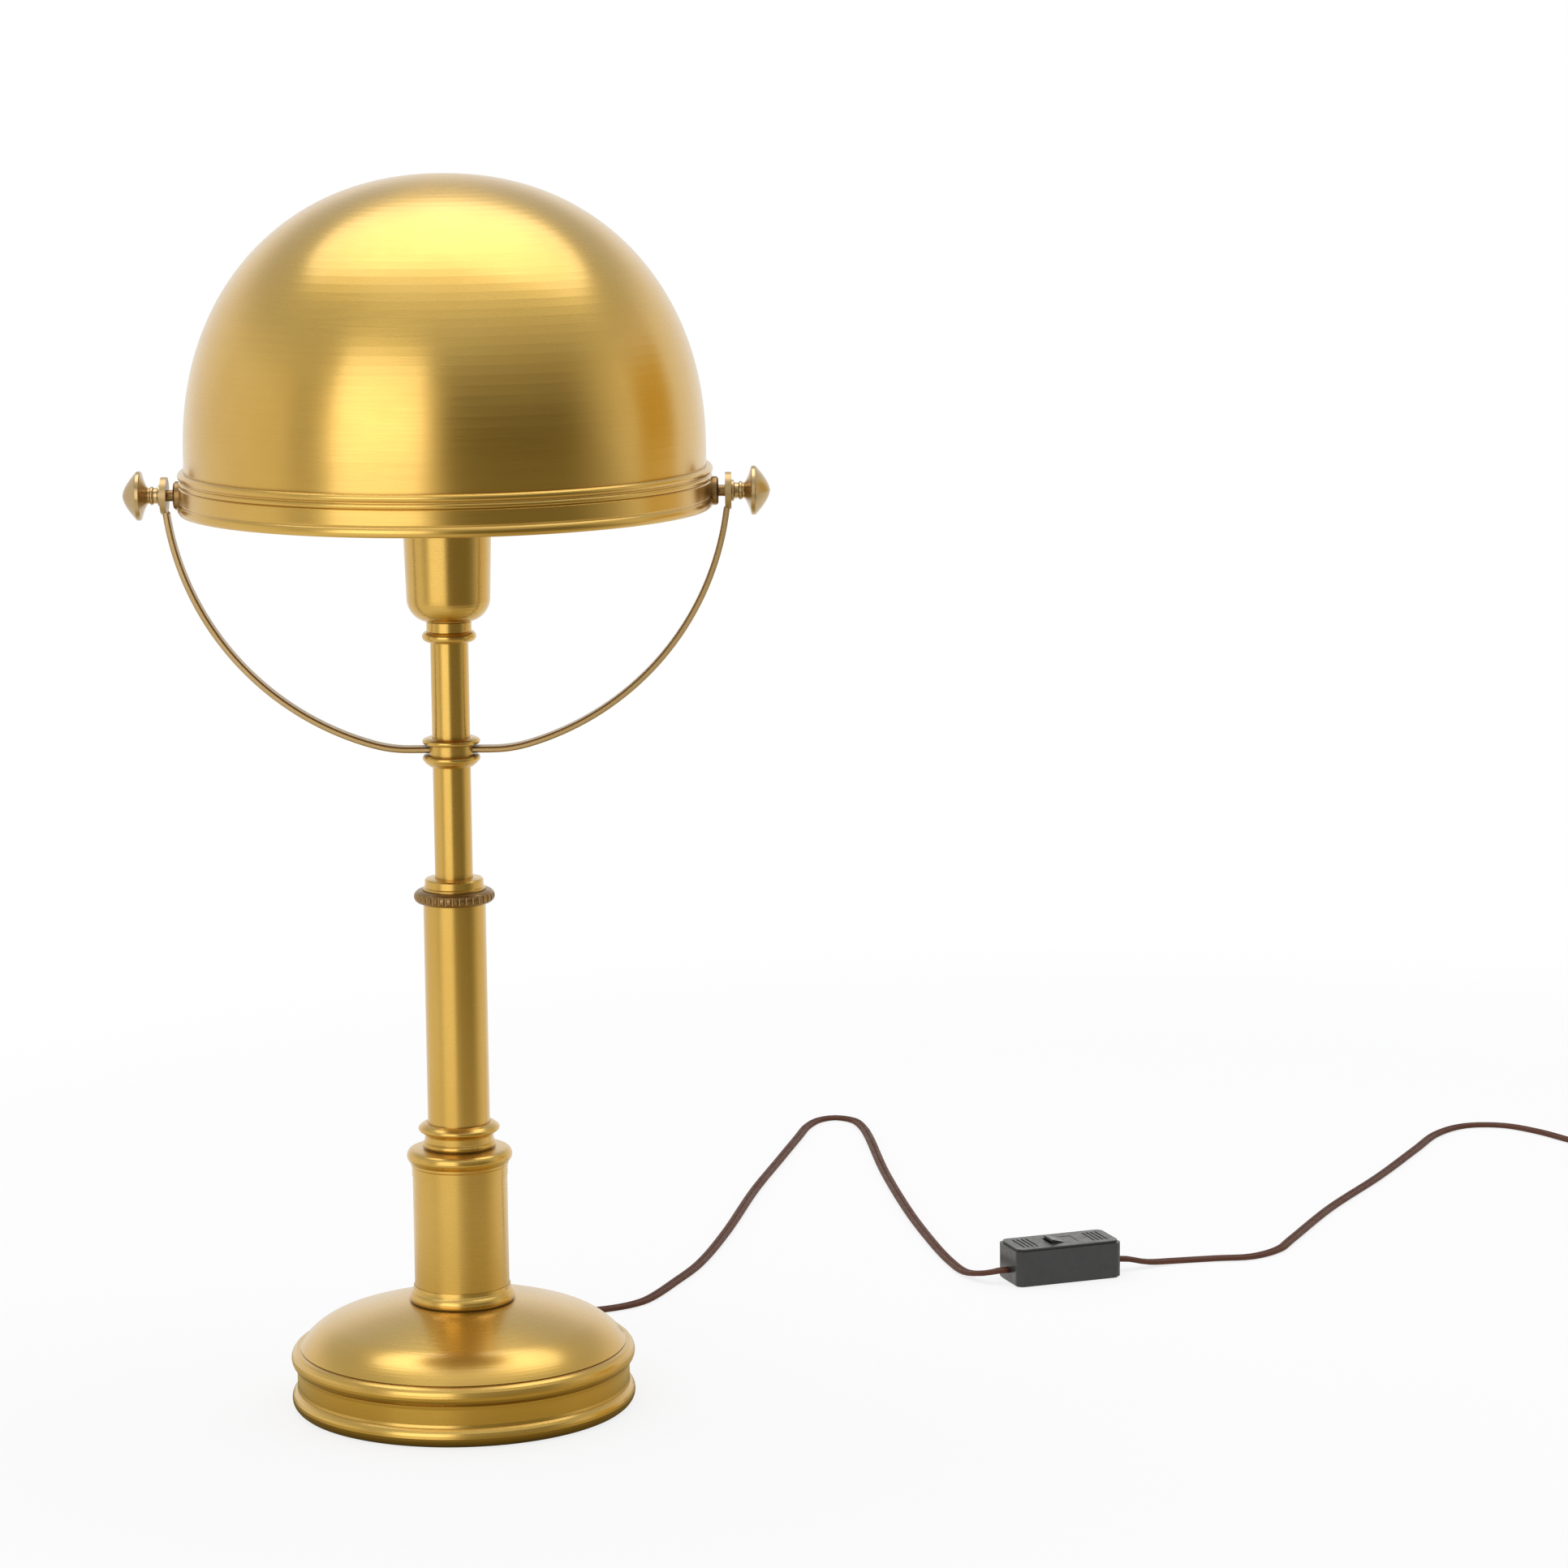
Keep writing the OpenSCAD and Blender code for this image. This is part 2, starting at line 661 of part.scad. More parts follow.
module rim_band() {
    z = rim_z;
    h = rim_h;
    color(brass) difference() {
        turned(concat(
            [[dome_r - dome_wall - 0.8, z], [rim_r - 1.4, z]],
            bead(plain_r - 0.2, rim_r, z + 0.1, z + h * 0.235),
            [[plain_r - 0.35, z + h * 0.25], [plain_r, z + h * 0.29], [plain_r, z + h * 0.63],
                [plain_r - 0.5, z + h * 0.655]],
            bead(plain_r - 0.6, plain_r + 0.15, z + h * 0.66, z + h * 0.79),
            [[plain_r - 0.7, z + h * 0.805]],
            bead(plain_r - 0.6, rim_r - 0.3, z + h * 0.82, z + h),
            [[band_in, z + h], [band_in, z + lip_t], [dome_r - dome_wall - 0.8, z + lip_t]]
        ));
        at_studs(-dome_r - 9) cylinder(h = 2 * dome_r + 18, r = stud_r + snug_gap, $fn = 48);
        both_sides() at_studs(seat_x) cylinder(h = 9, r = boss_d / 2 + snug_gap);
    }
}

// ---- pivots and finials, drawn on the right and mirrored to the left ----
stud_r = stud_d / 2;
stud_washer_r = stud_r + 2.5;
stud_washer_t = 1;
stud_nut_w = 1.75 * stud_d;
stud_nut_h = 0.8 * stud_d;
seat_x = sqrt(plain_r * plain_r - boss_d * boss_d / 4) - 0.1;
boss_out = eye_x - 4.5;
washer_x = sqrt(pow(dome_r - dome_wall, 2) - stud_washer_r * stud_washer_r) - 0.05;
stud_root = washer_x - stud_washer_t - stud_nut_h - 1;
stud_end = eye_out + 8.4;

module pivot_stud() {
    color(old_brass) at_studs(0) turned([
        [0, stud_root], [stud_r, stud_root], [stud_r, seat_x], [boss_d / 2, seat_x],
        [boss_d / 2, boss_out - 0.8], [boss_d / 2 - 0.8, boss_out], [stud_r + 0.7, boss_out],
        [stud_r + 0.7, eye_in - run_gap], [stud_r, eye_in - run_gap], [stud_r, stud_end], [0, stud_end]
    ]);
}

module pivot_stud_right() {
    pivot_stud();
}

module pivot_stud_left() {
    mirror([1, 0, 0]) pivot_stud();
}

module both_sides() {
    children();
    mirror([1, 0, 0]) children();
}

module stud_washers() {
    color(zinc) both_sides() at_studs(washer_x - stud_washer_t)
        tube(stud_washer_r, stud_r + snug_gap, 0, stud_washer_t);
}

module stud_nuts() {
    color(zinc) both_sides() at_studs(washer_x - stud_washer_t - stud_nut_h)
        hex_nut(stud_nut_w, stud_r + snug_gap, stud_nut_h);
}

module finial() {
    r = finial_d / 2;
    l = finial_l;
    z = run_gap;
    neck = stud_r + 1.6;
    color(brass) at_studs(eye_out) difference() {
        turned(concat(
            [[0, z], [neck + 1.4, z], [neck + 1.4, z + 1], [neck + 0.2, z + 1.6], [neck, z + l * 0.17]],
            bead(neck, neck + 0.8, z + l * 0.18, z + l * 0.29),
            [for (i = [0:8]) let (u = i / 8)
                [neck + (r - 0.4 - neck) * pow(u, 1.7), z + l * (0.31 + 0.2 * u)]],
            [[r, z + l * 0.53], [r, z + l * 0.61]],
            [for (i = [0:12]) let (u = i / 12) [r * 0.98 * pow(1 - u, 0.64), z + l * (0.63 + 0.37 * u)]]
        ));
        translate([0, 0, -1]) cylinder(h = stud_end - eye_out + 1.6, r = stud_r + run_gap, $fn = 48);
    }
}

module finial_right() {
    finial();
}

module finial_left() {
    mirror([1, 0, 0]) finial();
}

// ---- cord ----
cord_z = cord_t / 2;
relief_end = band_r + relief_l;
switch_at = [266, 206];
switch_turn = 20;
switch_axis = [cos(switch_turn), sin(switch_turn)];
switch_cord_z = 6.5;
switch_far = switch_at + switch_l * switch_axis;
layer_z = cord_t + 0.5;
coil_mid = [636, 450];
coil_r = 29.4;
coil_step = 6;
coil_turns = 2;
rings_a_turn = 24;
coil_lead = cord_w;
plug_lead = 4 * cord_w;

// points of the cord from the strain relief to the switch, chosen by hand
lamp_side = [
    [0, relief_end, relief_z], [0, 110, 13.3], [2, 122, 8.2], [8, 134, 3], [20, 143, cord_z],
    [36, 149, cord_z], [52, 153, cord_z], [65, 158, cord_z], [76, 166, cord_z], [84, 178, cord_z],
    [95, 207, cord_z], [108, 247, cord_z], [121, 312, cord_z], [135, 400, cord_z], [149, 472, cord_z],
    [160, 528, cord_z], [165, 553, cord_z], [172, 570, cord_z], [182, 576, cord_z], [192, 569, cord_z],
    [197, 553, cord_z], [201, 522, cord_z], [208, 440, cord_z], [219, 350, cord_z], [230, 282, cord_z],
    [238, 243, cord_z], [245, 220, 1.8], [254, 207, 4.6],
    [switch_at[0] - 5, switch_at[1] - 1.8, switch_cord_z],
    [switch_at[0], switch_at[1], switch_cord_z]
];

// points of the cord from the switch to the coil, chosen by hand
plug_side = [
    [switch_far[0], switch_far[1], switch_cord_z], [329, 229, 5.6], [340, 234, 2.6], [355, 241, cord_z],
    [376, 245, cord_z], [395, 248, cord_z], [410, 262, cord_z], [420, 285, cord_z], [447, 350, cord_z],
    [481, 419, cord_z], [509, 482, cord_z], [526, 520, cord_z], [545, 540, cord_z], [567, 540, cord_z],
    [585, 524, cord_z], [600, 502, cord_z], [614, 485, cord_z],
    [coil_mid[0] - coil_lead, coil_mid[1] + coil_r, cord_z]
];

// a flat cord's outline with its foot flat: half widths and heights in turn, for 8 or 6 sides
flat8 = [[0.5, 0.2], [0.32, 0.5], [-0.32, 0.5], [-0.5, 0.2], [-0.5, -0.2], [-0.32, -0.5], [0.32, -0.5],
    [0.5, -0.2]];
flat6 = [[0.5, 0], [0.28, 0.5], [-0.28, 0.5], [-0.5, 0], [-0.28, -0.5], [0.28, -0.5]];

function unit(v) = v / norm(v);

// a smooth curve through the points, sampled twice in each span
function spline_at(p, i, t) =
    let (
        n = len(p) - 1,
        a = p[max(0, i - 1)],
        b = p[i],
        c = p[min(n, i + 1)],
        d = p[min(n, i + 2)]
    )
    0.5 * ((2 * b) + (c - a) * t + (2 * a - 5 * b + 4 * c - d) * t * t + (3 * b - a - 3 * c + d) * t * t * t);

function spline(p) = concat(
    [for (i = [0:len(p) - 2]) for (t = [0, 0.5])
        if (t == 0 || norm(p[i + 1] - p[i]) > 14) spline_at(p, i, t)],
    [p[len(p) - 1]]
);

function heading(line, i, first, last) =
    i == 0 ? first : i == len(line) - 1 ? last : unit(line[i + 1] - line[i - 1]);

// corner points of the flat tube, ring by ring; the width stays level
function flat_rings(line, outline, first, last) =
    [for (i = [0:len(line) - 1])
        let (
            d = heading(line, i, first, last),
            side = unit([d[1], -d[0], 0]),
            up = cross(side, d)
        )
        for (s = outline) line[i] + side * (s[0] * cord_w) + up * (s[1] * cord_t)];

module flat_tube(line, outline, first, last) {
    k = len(outline);
    n = len(line);
    points = flat_rings(line, outline, first, last);
    sides = [for (i = [0:n - 2]) for (j = [0:k - 1]) let (a = i * k + j, b = i * k + (j + 1) % k)
        each [[a, b, a + k], [b, b + k, a + k]]];
    fan = [for (j = [1:k - 2]) [0, j + 1, j]];
    fan_end = [for (j = [1:k - 2]) [(n - 1) * k, (n - 1) * k + j, (n - 1) * k + j + 1]];
    polyhedron(points = points, faces = concat(sides, fan, fan_end), convexity = 8);
}

out_y = [0, 1, 0];
in_switch = [switch_axis[0], switch_axis[1], 0];

module strain_relief() {
    color(black) translate([0, band_r, relief_z]) rotate([-90, 0, 0]) difference() {
        union() {
            turned([[0, 0.35], [5, 0.35], [5, 1.6], [4.5, 2.2], [3.4, relief_l], [0, relief_l]]);
            translate([0, 0, -4]) cylinder(h = 5, r = relief_neck_r, $fn = 48);
        }
        for (z = [6, 11, 16]) for (s = [-1, 1]) translate([s * 4.6 - 2, -6, z]) cube([4, 12, 1.6]);
    }
}

module cord_lamp_side() {
    color(brown) flat_tube(spline(lamp_side), flat8, out_y, in_switch);
}

module cord_plug_side() {
    color(brown) flat_tube(spline(plug_side), flat8, in_switch, [1, 0, 0]);
}

// the coil: in at a steady rate, up a layer in the half turn where it reverses, and out again
coil_climb = 0.5;
function coil_at(u) =
    let (
        half = coil_turns / 2,
        r = coil_r - coil_step * (half - abs(u - half)),
        rise = min(1, max(0, (u - half + coil_climb / 2) / coil_climb)),
        a = 90 - 360 * u
    )
    [coil_mid[0] + r * cos(a), coil_mid[1] + r * sin(a), cord_z + layer_z * rise];

coil_line = let (n = rings_a_turn * coil_turns) concat(
    [[coil_mid[0] - coil_lead, coil_mid[1] + coil_r, cord_z]],
    [for (i = [0:n]) coil_at(i / rings_a_turn)],
    [[coil_mid[0] + plug_lead, coil_mid[1] + coil_r, cord_z + layer_z]]
);

module cord_coil() {
    color(brown) flat_tube(coil_line, flat6, [1, 0, 0], [1, 0, 0]);
}

// least gap of the coil to itself, between corner points of rings at least a third of a turn apart
coil_points = flat_rings(coil_line, flat6, [1, 0, 0], [1, 0, 0]);
function least_gap() =
    let (k = len(flat6), n = len(coil_line))
    min([for (i = [0:n - 1]) for (j = [i + 8:1:n - 1]) for (a = [0:k - 1]) for (b = [0:k - 1])
        norm(coil_points[i * k + a] - coil_points[j * k + b])]);
function length_of(line) = len(line) < 2 ? 0 :
    let (steps = [for (i = [1:len(line) - 1]) norm(line[i] - line[i - 1])]) steps * [for (s = steps) 1];

echo(coil_gap = least_gap());
echo(lamp_side_length = length_of(spline(lamp_side)), plug_side_length = length_of(spline(plug_side)),
    coil_length = length_of(coil_line));

// ---- inline switch ----
cover_z = 9.4;
pivot_z = switch_h - 3.1;
pin_r = 1.2;
pocket_l = rocker_l + 1.4;
pocket_w = rocker_w + 0.8;
switch_screw_x = switch_l * 0.36;

module at_switch() {
    translate([switch_at[0], switch_at[1], 0]) rotate([0, 0, switch_turn]) translate([switch_l / 2, 0, 0])
        children();
}

// plan of the housing at an inset, with rounded corners
module switch_plan(inset) {
    r = 3.5;
    x = switch_l / 2 - inset;
    y = switch_w / 2 - inset;
    polygon(concat(
        arc([x - r, y - r], r, 0, 90, 6), arc([r - x, y - r], r, 90, 180, 6),
        arc([r - x, r - y], r, 180, 270, 6), arc([x - r, r - y], r, 270, 360, 6)
    ));
}

module switch_base() {
    color(black) at_switch() difference() {
        union() {
            linear_extrude(height = 0.8) switch_plan(0.8);
            translate([0, 0, 0.8]) linear_extrude(height = cover_z - 0.8) switch_plan(0);
        }
        for (s = [-1, 1]) translate([s * switch_screw_x, 0, 0]) {
            translate([0, 0, -1]) cylinder(h = 3.2, r = 2.5, $fn = 32);
            cylinder(h = cover_z + 1, r = 1.3, $fn = 24);
        }
    }
}

module switch_cover() {
    color(black) at_switch() difference() {
        union() {
            translate([0, 0, cover_z]) linear_extrude(height = switch_h - cover_z - 1.2) switch_plan(0);
            translate([0, 0, switch_h - 1.2]) linear_extrude(height = 1.2) switch_plan(1.2);
        }
        translate([-pocket_l / 2, -pocket_w / 2, pivot_z - 5.4]) cube([pocket_l, pocket_w, 12]);
        translate([0, pocket_w / 2 + 1.6, pivot_z]) rotate([90, 0, 0])
            cylinder(h = pocket_w + 3.2, r = pin_r + run_gap, $fn = 32);
        for (s = [-1, 1]) translate([s * switch_screw_x, 0, cover_z - 1]) cylinder(h = 6, r = 1.25, $fn = 24);
        for (s = [-1, 1]) for (i = [0:3])
            translate([s * (switch_l / 2 - 6 - 2.4 * i) - 0.5, -switch_w * 0.3, switch_h - 0.5])
                cube([1, switch_w * 0.6, 1]);
    }
}

module switch_rocker() {
    top = 4;
    color([0.16, 0.16, 0.17]) at_switch() translate([0, 0, pivot_z]) rotate([0, rocker_tilt, 0]) {
        translate([0, rocker_w / 2, 0]) rotate([90, 0, 0]) linear_extrude(height = rocker_w)
            polygon([[-3.6, -4], [3.6, -4], [rocker_l / 2, top - 1], [rocker_l / 2, top],
                [rocker_l / 4, top - 0.5], [0, top - 0.9], [-rocker_l / 4, top - 0.5], [-rocker_l / 2, top],
                [-rocker_l / 2, top - 1]]);
        translate([0, pocket_w / 2 + 1.4, 0]) rotate([90, 0, 0])
            cylinder(h = pocket_w + 2.8, r = pin_r, $fn = 32);
    }
}

module switch_screws() {
    color(zinc) at_switch() for (s = [-1, 1]) translate([s * switch_screw_x, 0, 0.4]) difference() {
        rotate_extrude($fn = 32) polygon([[0, 0], [2.3, 0], [2.3, 1.7], [1.2, 1.8], [1.2, 12], [0, 13]]);
        translate([-3, -0.3, -1]) cube([6, 0.6, 1.6]);
    }
}

// ---- plug ----
plug_x = coil_mid[0] + plug_lead;
plug_y = coil_mid[1] + coil_r;
blade_l = 17.4;
blade_w = 6.35;
blade_t = 1.5;
blade_root = 6;

module plug_body() {
    tail = 9;
    w = plug_w / 2;
    color(brown) translate([plug_x, plug_y, 0]) difference() {
        linear_extrude(height = plug_h) polygon(concat(
            [[0, -4.6], [tail, -w + 3.4]],
            arc([tail + 3.4, 3.4 - w], 3.4, 180, 270, 5),
            [[plug_l - 1.2, -w], [plug_l, -w + 1.2], [plug_l, w - 1.2], [plug_l - 1.2, w]],
            arc([tail + 3.4, w - 3.4], 3.4, 90, 180, 5),
            [[tail, w - 3.4], [0, 4.6]]
        ));
        for (s = [-1, 1]) translate([plug_l - blade_root, s * blade_gap / 2 - blade_t / 2 - snug_gap,
            (plug_h - blade_w) / 2 - snug_gap])
            cube([blade_root + 1, blade_t + 2 * snug_gap, blade_w + 2 * snug_gap]);
        for (s = [-1, 1]) for (i = [0:4]) translate([tail + 3 + 2.2 * i, s * (w + 0.4) - 1, -1])
            cube([1, 2, plug_h + 2]);
    }
}

module plug_blades() {
    tip = 1.2;
    color(brass) for (s = [-1, 1])
        translate([plug_x + plug_l - blade_root, plug_y + s * blade_gap / 2 + blade_t / 2, plug_h / 2])
            rotate([90, 0, 0]) linear_extrude(height = blade_t) difference() {
                polygon([[0, -blade_w / 2], [blade_root + blade_l - tip, -blade_w / 2],
                    [blade_root + blade_l, tip - blade_w / 2], [blade_root + blade_l, blade_w / 2 - tip],
                    [blade_root + blade_l - tip, blade_w / 2], [0, blade_w / 2]]);
                translate([blade_root + 13, 0]) circle(r = 1.6, $fn = 32);
            }
}

felt_pad();
base_plate();
plate_screws();
base_weight();
base_shell();
tie_rod();
rod_nuts();
rod_washers();
foot_ring();
lower_sleeve();
step_fitting();
column_tube();
cap_bush();
clamp_ring();
slide_bush();
mast_end_rings();
mast_tube();
yoke_collar();
collar_screw();
yoke_strap_right();
yoke_strap_left();
holder_neck();
holder_nipple();
nipple_nut();
holder_cup();
holder_insulator();
screw_shell();
centre_contact();
bulb_cap();
bulb_glass();
dome_shade();
rim_band();
pivot_stud_right();
pivot_stud_left();
stud_washers();
stud_nuts();
finial_right();
finial_left();
strain_relief();
cord_lamp_side();
switch_base();
switch_cover();
switch_rocker();
switch_screws();
cord_plug_side();
cord_coil();
plug_body();
plug_blades();
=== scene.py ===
"""Dome shade desk lamp: the looks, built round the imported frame.

Metres, +Z up, +Y away from the camera. Only the cord's route and section are given in millimetres.
"""
import json
import math

import bpy
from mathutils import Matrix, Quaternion, Vector


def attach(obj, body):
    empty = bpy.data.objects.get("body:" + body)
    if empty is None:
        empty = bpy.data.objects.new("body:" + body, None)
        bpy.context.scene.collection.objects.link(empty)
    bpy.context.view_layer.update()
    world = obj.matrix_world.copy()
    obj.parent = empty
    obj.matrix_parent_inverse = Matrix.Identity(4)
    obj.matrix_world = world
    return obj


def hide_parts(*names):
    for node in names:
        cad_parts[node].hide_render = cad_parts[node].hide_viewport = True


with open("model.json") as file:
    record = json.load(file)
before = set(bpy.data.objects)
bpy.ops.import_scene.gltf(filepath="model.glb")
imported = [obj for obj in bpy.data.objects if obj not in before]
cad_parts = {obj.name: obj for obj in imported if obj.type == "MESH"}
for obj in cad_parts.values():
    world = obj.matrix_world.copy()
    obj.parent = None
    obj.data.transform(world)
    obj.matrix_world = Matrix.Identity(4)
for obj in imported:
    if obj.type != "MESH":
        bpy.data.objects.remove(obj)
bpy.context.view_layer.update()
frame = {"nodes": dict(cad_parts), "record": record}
scene = bpy.context.scene
scene.view_settings.view_transform = "Standard"
MM = 0.001


# ---- camera ----
CAMERA_PLACE = (0.1537, -2.3155, 0.6723)
CAMERA_PITCH = 9.29  # degrees below the horizon
CAMERA_ROLL = -0.55  # degrees
SENSOR = 36.0  # mm, for the whole width of the square picture
LENS = 116.3  # mm
CLIP_START = 0.05
CLIP_END = 60


def make_camera():
    data = bpy.data.cameras.new("camera")
    data.sensor_fit = "HORIZONTAL"
    data.sensor_width = SENSOR
    data.lens = LENS
    data.clip_start = CLIP_START
    data.clip_end = CLIP_END
    cam = bpy.data.objects.new("camera", data)
    scene.collection.objects.link(cam)
    cam.location = CAMERA_PLACE
    pitch = math.radians(CAMERA_PITCH)
    look = Vector((0, math.cos(pitch), -math.sin(pitch)))
    turn = look.to_track_quat("-Z", "Y")
    cam.rotation_mode = "QUATERNION"
    cam.rotation_quaternion = turn @ Quaternion((0, 0, 1), math.radians(CAMERA_ROLL))
    scene.camera = cam


make_camera()


# ---- meshes ----
def new_object(name, verts, faces, smooth=True):
    mesh = bpy.data.meshes.new(name)
    mesh.from_pydata([tuple(v) for v in verts], [], faces)
    mesh.update()
    for p in mesh.polygons:
        p.use_smooth = smooth
    obj = bpy.data.objects.new(name, mesh)
    scene.collection.objects.link(obj)
    return obj


# ---- the cord, in mm: two flat leads, one on each side of the inline switch ----
CORD_W = 5.3
CORD_T = 2.6
CORD_Z = CORD_T / 2  # the middle of a cord that lies on the table
CORE_STEPS = 9  # round each of its two cores
RING_GAP = 5.0  # between two rings of the mesh, at most

SWITCH_AT = (266, 206)  # where the lamp side goes in
SWITCH_Z = 6.5  # the cord's middle at both ends of the switch
SWITCH_L = 58
SWITCH_TURN = math.radians(20)
IN_SWITCH = Vector((math.cos(SWITCH_TURN), math.sin(SWITCH_TURN), 0))


def route(*points):
    """Points on a lead's middle line; a point without a height lies on the table."""
    return [p if len(p) == 3 else (*p, CORD_Z) for p in points]


LAMP_SIDE = route(
    (0, 102.2, 14.2), (0, 110, 13.3), (2, 122, 8.2), (8, 134, 3), (20, 143), (36, 149), (52, 153),
    (65, 158), (76, 166), (84, 178), (95, 207), (108, 247), (121, 312), (135, 400), (149, 472),
    (160, 528), (165, 553), (172, 570), (182, 576), (192, 569), (197, 553), (201, 522), (208, 440),
    (219, 350), (230, 282), (238, 243), (245, 220, 1.8), (254, 207, 4.6), (261, 204.2, SWITCH_Z),
    (*SWITCH_AT, SWITCH_Z),
)
PLUG_SIDE = route(
    (SWITCH_AT[0] + SWITCH_L * IN_SWITCH.x, SWITCH_AT[1] + SWITCH_L * IN_SWITCH.y, SWITCH_Z),
    (329, 229, 5.6), (340, 234, 2.6), (355, 241), (376, 245), (395, 248), (410, 262), (420, 285),
    (447, 350), (481, 419), (509, 482), (526, 520), (545, 540), (567, 540), (585, 524), (600, 502),
    (614, 485), (630.7, 479.4),
)
COIL_MID = (636, 450)
COIL_R = 29.4
COIL_STEP = 6  # inwards with each turn, then out again
COIL_TURNS = 2
COIL_POINTS = 48  # to a turn
COIL_RISE = 3.1  # of the upper turn over the lower one
COIL_CLIMB = 0.5  # of a turn, on which the cord rises
PLUG_LEAD = 21.2  # from the coil's middle to the plug


def spline_at(points, i, t):
    last = len(points) - 1
    a, b, c, d = (Vector(points[min(max(j, 0), last)]) for j in (i - 1, i, i + 1, i + 2))
    return 0.5 * (2 * b + (c - a) * t + (2 * a - 5 * b + 4 * c - d) * t * t
                  + (3 * b - a - 3 * c + d) * t ** 3)


def spline(points):
    """A smooth line through the points, in steps of the ring gap or less."""
    line = []
    for i in range(len(points) - 1):
        steps = max(1, math.ceil((Vector(points[i + 1]) - Vector(points[i])).length / RING_GAP))
        line += [spline_at(points, i, k / steps) for k in range(steps)]
    return line + [Vector(points[-1])]


def coil():
    """The spare length: a turn inwards on the table, one outwards on top of it, then a lead to the plug."""
    half = COIL_TURNS / 2
    steps = COIL_POINTS * COIL_TURNS
    line = []
    for i in range(steps + 1):
        u = COIL_TURNS * i / steps
        r = COIL_R - COIL_STEP * (half - abs(u - half))
        rise = min(1, max(0, (u - half + COIL_CLIMB / 2) / COIL_CLIMB))
        a = math.radians(90 - 360 * u)
        line.append(Vector((COIL_MID[0] + r * math.cos(a), COIL_MID[1] + r * math.sin(a),
                            CORD_Z + COIL_RISE * rise)))
    return line + [Vector((COIL_MID[0] + PLUG_LEAD, COIL_MID[1] + COIL_R, CORD_Z + COIL_RISE))]


def twin_outline():
    """Two round cores side by side, joined by a seam, as (across, up) pairs."""
    r = CORD_T / 2
    c = CORD_W / 2 - r
    turns = [math.radians(-180 + 360 * i / CORE_STEPS) for i in range(CORE_STEPS + 1)]
    right = [(c + r * math.cos(a), r * math.sin(a)) for a in turns]
    return right + [(-x, -z) for x, z in right]


def ribbon(name, line, first, last):
    """The twin section carried along the line, its width level. first and last are the end directions."""
    outline = twin_outline()
    k = len(outline)
    verts = []
    for i, point in enumerate(line):
        if i == 0:
            d = Vector(first)
        elif i == len(line) - 1:
            d = Vector(last)
        else:
            d = (line[i + 1] - line[i - 1]).normalized()
        side = Vector((d.y, -d.x, 0)).normalized()
        up = side.cross(d)
        verts += [(point + side * x + up * z) * MM for x, z in outline]
    faces = []
    for i in range(len(line) - 1):
        for j in range(k):
            a, b = i * k + j, i * k + (j + 1) % k
            faces.append((a, a + k, b + k, b))
    faces.append(tuple(range(k)))
    faces.append(tuple(range(len(verts) - 1, len(verts) - 1 - k, -1)))
    return new_object(name, verts, faces)


lamp_line = spline(LAMP_SIDE)
plug_line = spline(PLUG_SIDE) + coil()
cord_lamp = ribbon("twin_cord_lamp_side", lamp_line, (0, 1, 0), IN_SWITCH)
cord_plug = ribbon("twin_cord_plug_side", plug_line, IN_SWITCH, (1, 0, 0))
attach(cord_lamp, "stand")
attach(cord_plug, "stand")
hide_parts("cord_lamp_side")
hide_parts("cord_plug_side", "cord_coil")


